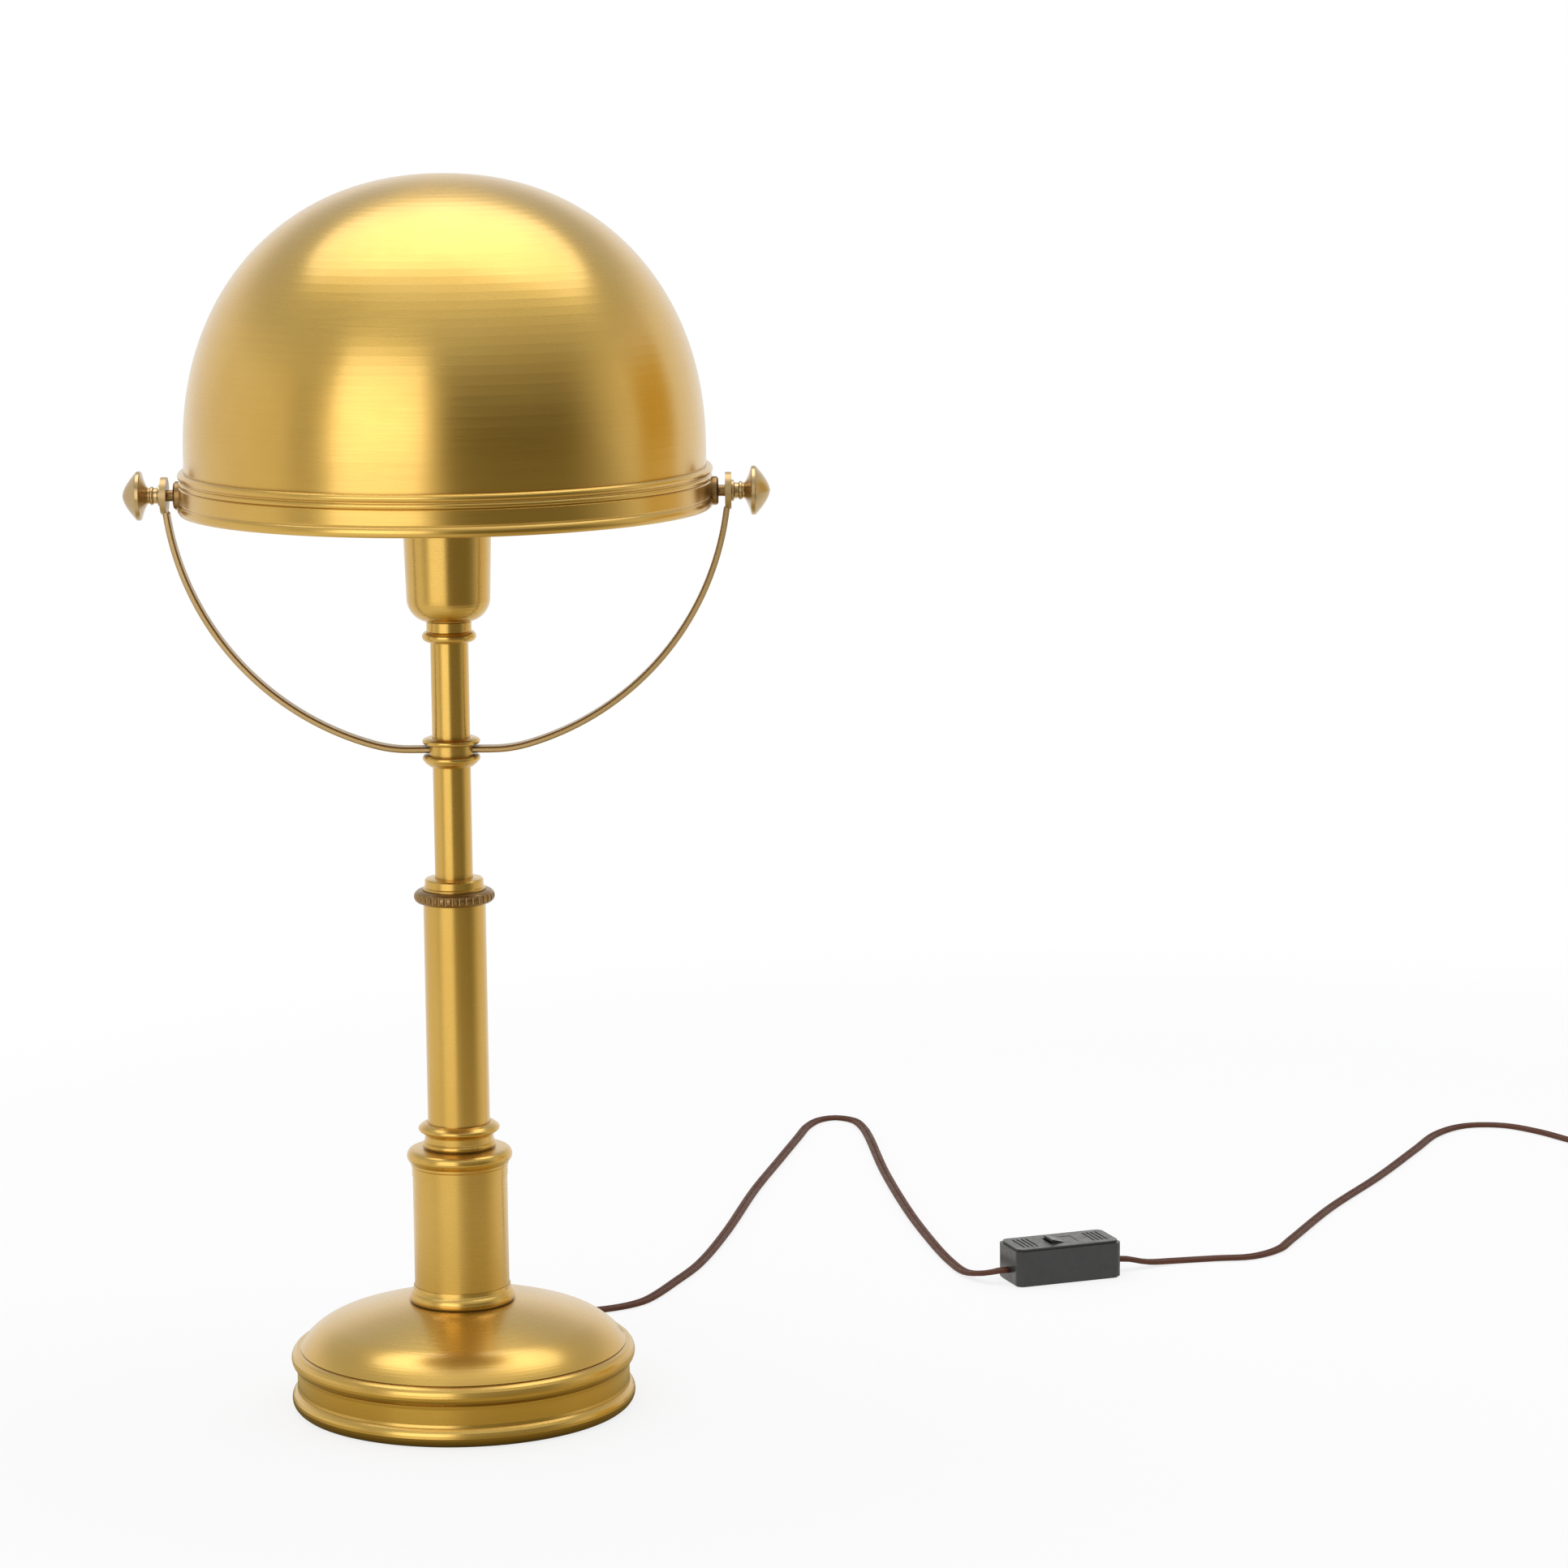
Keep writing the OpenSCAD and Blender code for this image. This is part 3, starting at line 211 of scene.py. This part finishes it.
# ---- materials ----
class Nodes:
    """A short way to write a node tree. Colours are (r, g, b)."""

    def __init__(self, name, tree=None):
        if tree is None:
            self.mat = bpy.data.materials.new(name)
            self.mat.use_nodes = True
            tree = self.mat.node_tree
        self.tree = tree
        tree.nodes.clear()

    def add(self, kind, props=None, **inputs):
        """A node with its settings and inputs: Base_Color is the input "Base Color", i6 is number 6."""
        node = self.tree.nodes.new("ShaderNode" + kind)
        for key, value in (props or {}).items():
            setattr(node, key, value)
        for key, value in inputs.items():
            key = int(key[1:]) if key[0] == "i" and key[1:].isdigit() else key.replace("_", " ")
            self.set(node.inputs[key], value)
        return node

    def set(self, socket, value):
        if isinstance(value, bpy.types.NodeSocket):
            self.tree.links.new(value, socket)
        elif socket.type == "RGBA":
            socket.default_value = (*value, 1.0)
        else:
            socket.default_value = value

    def math(self, op, a, b=0.0, clamp=False):
        return self.add("Math", {"operation": op, "use_clamp": clamp}, i0=a, i1=b).outputs[0]

    def plus(self, a, b, clamp=False):
        return self.math("ADD", a, b, clamp)

    def times(self, a, b):
        return self.math("MULTIPLY", a, b)

    def length(self, vector):
        return self.add("VectorMath", {"operation": "LENGTH"}, i0=vector).outputs["Value"]

    def minus(self, vector, other):
        return self.add("VectorMath", {"operation": "SUBTRACT"}, i0=vector, i1=other).outputs[0]

    def object_coords(self):
        return self.add("TexCoord").outputs["Object"]

    def ramp(self, value, lo, hi, to_lo=0.0, to_hi=1.0):
        """A smooth step from one number to another; lo may be the larger end."""
        return self.add("MapRange", {"interpolation_type": "SMOOTHSTEP"}, Value=value, From_Min=lo,
                        From_Max=hi, To_Min=to_lo, To_Max=to_hi).outputs[0]

    def band(self, value, start, full_from, full_to, end):
        """One from full_from to full_to, with a smooth fall to nothing at start and end."""
        return self.times(self.ramp(value, start, full_from), self.ramp(value, end, full_to))

    def mix(self, fac, a, b):
        """Colour a, giving way to b; the node takes them at 6 and 7 and gives its colour at 2."""
        return self.add("Mix", {"data_type": "RGBA"}, i0=fac, i6=a, i7=b).outputs[2]

    def noise(self, vector, scale, detail=2.0, rough=0.5, w=None):
        node = self.add("TexNoise", {"noise_dimensions": "3D" if w is None else "4D"}, Vector=vector,
                        Scale=scale, Detail=detail, Roughness=rough)
        if w is not None:
            self.set(node.inputs["W"], w)
        return node.outputs[0]

    def bump(self, height, strength, distance):
        return self.add("Bump", Strength=strength, Distance=distance, Height=height).outputs[0]

    def bearing(self, x, y):
        """Degrees round the lamp from straight in front of it, positive to the right."""
        return self.times(self.math("ARCTAN2", x, self.times(y, -1.0)), math.degrees(1))

    def out(self, shader):
        self.add("OutputMaterial", Surface=shader)
        return self.mat

    def principled(self, **inputs):
        return self.out(self.add("BsdfPrincipled", **inputs).outputs[0])


def scaled(colour, r, g, b):
    return (colour[0] * r, colour[1] * g, colour[2] * b)


AXES = {"X": (1, 2, 0), "Z": (0, 1, 2)}  # two coordinates across the axis and one along it
NO_RADIUS = 1e-5  # m, keeps the axis itself from dividing by nothing


def turned_coords(n, coord, axis):
    """For a turned piece: the unit vector out from its axis, the place along it and the radius.

    The vector comes in two parts instead of an angle, so the lines run round without a seam.
    """
    split = n.add("SeparateXYZ", Vector=coord).outputs
    u, v, along = (split[i] for i in AXES[axis])
    radius = n.math("SQRT", n.plus(n.times(u, u), n.times(v, v)))
    safe = n.math("MAXIMUM", radius, NO_RADIUS)
    return n.math("DIVIDE", u, safe), n.math("DIVIDE", v, safe), along, radius


def turning_lines(n, turned, fineness, spread):
    """Lines that run round the axis. fineness is to a metre, spread is how fast they change on the way."""
    u, v, along, radius = turned
    vector = n.add("CombineXYZ", X=n.times(u, spread), Y=n.times(v, spread), Z=n.times(along, fineness))
    return n.noise(vector.outputs[0], scale=1.0, detail=3.0, rough=0.6, w=n.times(radius, fineness))


# painted shade: the colour that creases and corners are darkened towards
CREASE_SHADE = (0.115, 0.072, 0.022)
PATINA = 0.5  # how far the clouds take the tone from bright to deep


def brass(name, bright, deep, rough=0.27, axis="Z", centre=(0, 0, 0), spin=0.6, crease=0.006, coat=0.6):
    """Turned or spun brass under a thin lacquer: fine lines round its axis, soft patina, painted shade in
    creases.

    spin is how much the lines stretch a reflection, crease the width in metres of the painted shade in a
    corner.
    """
    n = Nodes(name)
    coord = n.object_coords()
    if any(centre):
        coord = n.minus(coord, centre)
    turned = turned_coords(n, coord, axis)
    fine = turning_lines(n, turned, fineness=1300, spread=4.0)
    broad = turning_lines(n, turned, fineness=230, spread=1.6)
    cloud = n.noise(coord, scale=16, detail=4.0, rough=0.55)
    specks = n.noise(coord, scale=380, rough=0.6)
    # painted shade: ambient occlusion marks creases and corners, which are darkened and made rougher
    shaded = n.add("AmbientOcclusion", {"samples": 8}, Distance=crease).outputs["AO"]
    crease_shade = n.ramp(shaded, 0.70, 0.25)
    colour = n.mix(n.times(n.ramp(cloud, 0.35, 0.68), PATINA), bright, deep)
    colour = n.mix(n.ramp(broad, 0.3, 0.7, 0.0, 0.06), colour, scaled(deep, 0.8, 0.74, 0.6))
    colour = n.mix(n.ramp(specks, 0.72, 0.86, 0.0, 0.14), colour, scaled(deep, 0.6, 0.52, 0.45))
    # painted shade mixed into the colour in creases and corners
    colour = n.mix(n.times(crease_shade, 0.75), colour, CREASE_SHADE)
    roughness = n.plus(n.ramp(fine, 0.3, 0.7, rough - 0.02, rough + 0.02),
                       n.ramp(cloud, 0.4, 0.7, 0.0, 0.04))
    roughness = n.plus(roughness, n.times(crease_shade, 0.18))
    height = n.plus(n.times(fine, 0.35), n.times(broad, 0.65))
    tangent = n.add("Tangent", {"direction_type": "RADIAL", "axis": axis}).outputs[0]
    return n.principled(Base_Color=colour, Metallic=1.0, Roughness=roughness, Tangent=tangent,
                        Normal=n.bump(height, strength=0.022, distance=0.00008),
                        Anisotropic=spin, Anisotropic_Rotation=0.25,
                        Coat_Weight=coat, Coat_Roughness=0.18, Coat_IOR=1.5)


def zinc(name, colour, rough, crystals=900):
    """Plated steel: small crystals and a little yellow in the plating."""
    n = Nodes(name)
    coord = n.object_coords()
    cells = n.add("TexVoronoi", Vector=coord, Scale=crystals).outputs["Color"]
    grey = n.add("RGBToBW", Color=cells).outputs[0]
    tint = n.noise(coord, scale=60, detail=3.0)
    base = n.mix(n.ramp(grey, 0.2, 0.8, 0.0, 0.25), colour, scaled(colour, 0.7, 0.7, 0.7))
    base = n.mix(n.ramp(tint, 0.5, 0.75, 0.0, 0.3), base, scaled(colour, 1.05, 0.98, 0.8))
    return n.principled(Base_Color=base, Metallic=1.0, Normal=n.bump(grey, strength=0.15, distance=0.0001),
                        Roughness=n.ramp(grey, 0, 1, rough - 0.06, rough + 0.08))


def plastic(name, colour, rough, coat=0.0, dust=0.32, shine=0.5):
    """Moulded plastic or vinyl: a fine moulded grain, dust and handling marks."""
    n = Nodes(name)
    coord = n.object_coords()
    fine = n.noise(coord, scale=1500)
    cloud = n.noise(coord, scale=45, detail=4.0, rough=0.6)
    marks = n.noise(coord, scale=260, detail=3.0, rough=0.65)
    dusty = tuple(min(1.0, c * 1.5 + 0.02) for c in colour)
    base = n.mix(n.ramp(cloud, 0.35, 0.7, 0.0, dust), colour, dusty)
    roughness = n.plus(n.ramp(marks, 0.35, 0.7, rough - 0.05, rough + 0.10),
                       n.ramp(cloud, 0.4, 0.7, 0.0, 0.06))
    return n.principled(Base_Color=base, Roughness=roughness,
                        Normal=n.bump(fine, strength=0.3, distance=0.00003),
                        Specular_IOR_Level=shine, Coat_Weight=coat, Coat_Roughness=0.12)


def felt(name, colour):
    """Matted fibres with a soft sheen."""
    n = Nodes(name)
    coord = n.object_coords()
    fibres = n.noise(coord, scale=1400, detail=5.0, rough=0.7)
    lumps = n.noise(coord, scale=180, detail=3.0, rough=0.6)
    base = n.mix(n.ramp(fibres, 0.3, 0.7), colour, scaled(colour, 2.2, 2.2, 2.2))
    height = n.plus(n.times(fibres, 0.6), n.times(lumps, 0.4))
    return n.principled(Base_Color=base, Roughness=0.95,
                        Normal=n.bump(height, strength=0.8, distance=0.0004),
                        Sheen_Weight=0.6, Sheen_Roughness=0.4)


def cast_iron(name):
    """A dark sand-cast skin with patches of rust."""
    n = Nodes(name)
    coord = n.object_coords()
    sand = n.noise(coord, scale=700, detail=5.0, rough=0.7)
    rust = n.noise(coord, scale=55, detail=4.0, rough=0.6)
    base = n.mix(n.ramp(rust, 0.55, 0.75, 0.0, 0.5), (0.03, 0.03, 0.032), (0.12, 0.05, 0.025))
    return n.principled(Base_Color=base, Roughness=n.ramp(sand, 0.3, 0.7, 0.5, 0.75),
                        Normal=n.bump(sand, strength=0.7, distance=0.0004))


def frosted_glass(name):
    """White-coated bulb glass."""
    n = Nodes(name)
    cloud = n.noise(n.object_coords(), scale=30, detail=3.0)
    base = n.mix(n.ramp(cloud, 0.3, 0.7, 0.0, 0.35), (0.93, 0.92, 0.89), (0.86, 0.85, 0.81))
    return n.principled(Base_Color=base, Roughness=n.ramp(cloud, 0.3, 0.7, 0.22, 0.32),
                        Coat_Weight=0.6, Coat_Roughness=0.05,
                        Subsurface_Weight=0.25, Subsurface_Radius=(0.004, 0.004, 0.003))


BRIGHT, BRIGHT_DEEP = (0.68, 0.430, 0.090), (0.62, 0.365, 0.060)
DULL, DULL_DEEP = (0.54, 0.38, 0.17), (0.42, 0.28, 0.105)
OLD, OLD_DEEP = (0.35, 0.215, 0.08), (0.22, 0.125, 0.048)
PLAIN, PLAIN_DEEP = (0.78, 0.58, 0.26), (0.70, 0.48, 0.18)
STUDS_MID = (0, 0, 0.4303)  # on the axis of the pieces that are turned across the lamp

brass_z = brass("spun_brass", BRIGHT, BRIGHT_DEEP)
brass_x = brass("turned_brass_across", DULL, DULL_DEEP, axis="X", centre=STUDS_MID, crease=0.003)
brass_strap = brass("strap_brass", DULL, DULL_DEEP, rough=0.42, spin=0.1, coat=0.4, crease=0.003)
old_z = brass("old_brass", OLD, OLD_DEEP, rough=0.36, coat=0.15, crease=0.002)
old_x = brass("old_brass_across", OLD, OLD_DEEP, axis="X", centre=STUDS_MID, rough=0.36, coat=0.15,
              crease=0.002)
plain_brass = brass("plain_brass", PLAIN, PLAIN_DEEP, rough=0.22, coat=0.0, crease=0.001)
steel = zinc("zinc_plate", (0.62, 0.62, 0.63), 0.34)
cap_metal = zinc("cap_metal", (0.78, 0.78, 0.80), 0.22, crystals=500)
black = plastic("black_moulding", (0.020, 0.021, 0.022), 0.30, coat=0.25, dust=0.2)
vinyl = plastic("cord_vinyl", (0.095, 0.034, 0.017), 0.48, dust=0.2, shine=0.22)
plug_vinyl = plastic("plug_vinyl", (0.095, 0.036, 0.019), 0.48, shine=0.3)
nylon = plastic("nylon", (0.78, 0.75, 0.66), 0.45)
holder_plastic = plastic("holder_plastic", (0.72, 0.69, 0.60), 0.35)
felt_green = felt("felt", (0.018, 0.038, 0.022))
iron = cast_iron("cast_iron")
glass = frosted_glass("frosted_white")

ON_SLOT = {
    "satin_brass": brass_z, "dark_brass": old_z, "plain_brass": plain_brass, "steel": steel,
    "cap_metal": cap_metal, "iron": iron, "felt": felt_green, "nylon": nylon,
    "holder_plastic": holder_plastic, "opal_glass": glass, "black_plastic": black, "cord_vinyl": vinyl,
    "plug_vinyl": plug_vinyl,
}
BY_NODE = {
    "finial_right": brass_x, "finial_left": brass_x,
    "pivot_stud_right": old_x, "pivot_stud_left": old_x,
    "yoke_strap_right": brass_strap, "yoke_strap_left": brass_strap,
}


def paint(obj, material):
    if not obj.data.materials:
        obj.data.materials.append(material)
    for i in range(len(obj.data.materials)):
        obj.data.materials[i] = material


for part in frame["record"]["subparts"]:
    node = part["node"]
    paint(frame["nodes"][node], BY_NODE.get(node, ON_SLOT[part["material_slot"]]))
paint(cord_lamp, vinyl)
paint(cord_plug, vinyl)


# ---- floor, world and lights ----
WHITE = (1, 1, 1)
PALE = (0.93, 0.91, 0.87)  # the lit side of the room and of the table, in the metal
FLOOR_X = (-2.5, 3.0)
FLOOR_Y = (-0.8, 4.0)
FLOOR_DROP = 0.0002  # keeps the floor's face clear of the felt's
LIT_MID = (0.3, 0.2, 0)  # between the lamp and the end of its cord


def make_floor():
    """A pale table top that ends in front of the lamp and turns plain white away from lamp and cord.

    Rays from the metal see painted tones there: a painted contact shadow, dark under the base's edge and
    warm beside it, then pale, or painted shade, dim on the side of the unlit corner.
    """
    (x0, x1), (y0, y1) = FLOOR_X, FLOOR_Y
    floor = new_object("floor", [(x0, y0, 0), (x1, y0, 0), (x1, y1, 0), (x0, y1, 0)], [(0, 1, 2, 3)],
                       smooth=False)
    floor.location.z = -FLOOR_DROP
    n = Nodes("floor_white")
    coord = n.object_coords()
    x, y, _ = n.add("SeparateXYZ", Vector=coord).outputs
    reach = n.length(coord)
    seen = n.add("LightPath").outputs

    soft = n.noise(coord, scale=3.0)
    base = n.mix(n.ramp(soft, 0.3, 0.7, 0.0, 0.5), (0.90, 0.90, 0.90), (0.885, 0.885, 0.885))
    diffuse = n.add("BsdfDiffuse", Color=base).outputs[0]

    unlit = n.band(n.bearing(x, y), -6, 30, 60, 115)
    # painted contact shadow in the reflected tone: dark under the base's edge, warm and half dark beside it
    under = n.mix(n.ramp(reach, 0.083, 0.11), (0.15, 0.12, 0.05), (0.53, 0.45, 0.22))
    pale = n.mix(n.ramp(reach, 0.13, 0.36), under, PALE)
    # painted shade: the reflected tone is dim on the side of the unlit corner and darker still far off
    dim = n.mix(n.ramp(reach, 0.16, 0.40), under, (0.68, 0.62, 0.50))
    dim = n.mix(n.ramp(reach, 0.45, 1.10), dim, (0.12, 0.11, 0.07))
    mirrored = n.plus(seen["Is Glossy Ray"], seen["Is Transmission Ray"], clamp=True)
    # the metal sees these painted tones in the floor's glow, which is white to camera rays
    shown = n.mix(mirrored, WHITE, n.mix(unlit, pale, dim))
    glow = n.add("Emission", Color=shown, Strength=1.0).outputs[0]

    away = n.length(n.minus(coord, LIT_MID))
    lift = n.times(seen["Is Camera Ray"], n.ramp(away, 0.55, 1.0, 0.80, 1.0))
    both = n.add("MixShader", Fac=n.plus(lift, mirrored, clamp=True), i1=diffuse, i2=glow)
    paint(floor, n.out(both.outputs[0]))


def make_world():
    """White to the eye; in the metal a pale room with an unlit corner in front of the lamp to its right.

    The room is laid out by bearing and by z, the sine of the height above the horizon.
    """
    world = bpy.data.worlds.new("world")
    world.use_nodes = True
    scene.world = world
    n = Nodes("world", world.node_tree)
    x, y, z = n.add("SeparateXYZ", Vector=n.add("TexCoord").outputs["Generated"]).outputs
    around = n.bearing(x, y)
    seen = n.add("LightPath").outputs

    room = n.mix(n.ramp(z, 0.25, 0.55), PALE, (0.60, 0.62, 0.64))
    stripe = n.times(n.band(around, -74, -64, -56, -50), n.ramp(z, 0.45, 0.30, 0.0, 0.55))
    room = n.mix(stripe, room, (0.30, 0.28, 0.22))
    corner = n.mix(n.ramp(z, -0.40, -0.16), (0.10, 0.088, 0.032), (0.33, 0.29, 0.18))
    corner = n.mix(n.ramp(z, -0.12, 0.0), corner, (0.11, 0.105, 0.066))
    corner = n.mix(n.ramp(z, 0.04, 0.34), corner, (0.26, 0.245, 0.22))
    corner = n.mix(n.ramp(z, 0.36, 0.68), corner, (0.66, 0.68, 0.70))
    room = n.mix(n.band(around, -6, 6, 56, 96), room, corner)
    warm = n.times(n.band(around, 94, 102, 120, 130), n.ramp(z, 0.36, 0.22))
    room = n.mix(warm, room, (0.68, 0.47, 0.10))
    room = n.mix(n.ramp(z, 0.78, 0.955), room, (1.08, 1.10, 1.20))

    plain = n.plus(seen["Is Camera Ray"], seen["Is Transmission Ray"], clamp=True)
    colour = n.mix(seen["Is Diffuse Ray"], n.mix(plain, room, WHITE), (0.61, 0.61, 0.61))
    back = n.add("Background", Color=colour, Strength=1.0)
    n.add("OutputWorld", Surface=back.outputs[0])


def area(name, place, aim, width, height, level, colour, shape="RECTANGLE"):
    """An area lamp with a rectangular or round face; the level is the radiance of that face."""
    data = bpy.data.lights.new(name, "AREA")
    data.shape = shape
    data.size = width
    data.size_y = height
    face = width * height * (math.pi / 4 if shape == "ELLIPSE" else 1)
    data.energy = level * math.pi * face
    data.color = colour
    lamp = bpy.data.objects.new(name, data)
    scene.collection.objects.link(lamp)
    lamp.location = place
    lamp.rotation_mode = "QUATERNION"
    lamp.rotation_quaternion = (Vector(aim) - Vector(place)).to_track_quat("-Z", "Y")
    lamp.visible_camera = False


def make_lights():
    area("top_box", place=(0.15, 0.42, 2.1), aim=(0.15, 0.4201, 0.4), width=3.2, height=1.65,
         level=1.55, colour=(1.0, 1.0, 1.05), shape="ELLIPSE")
    area("tall_box", place=(-1.105, -2.349, 1.175), aim=(0, 0, 1.175), width=1.97, height=2.25,
         level=1.37, colour=(1.0, 0.98, 1.06))


make_floor()
make_world()
make_lights()
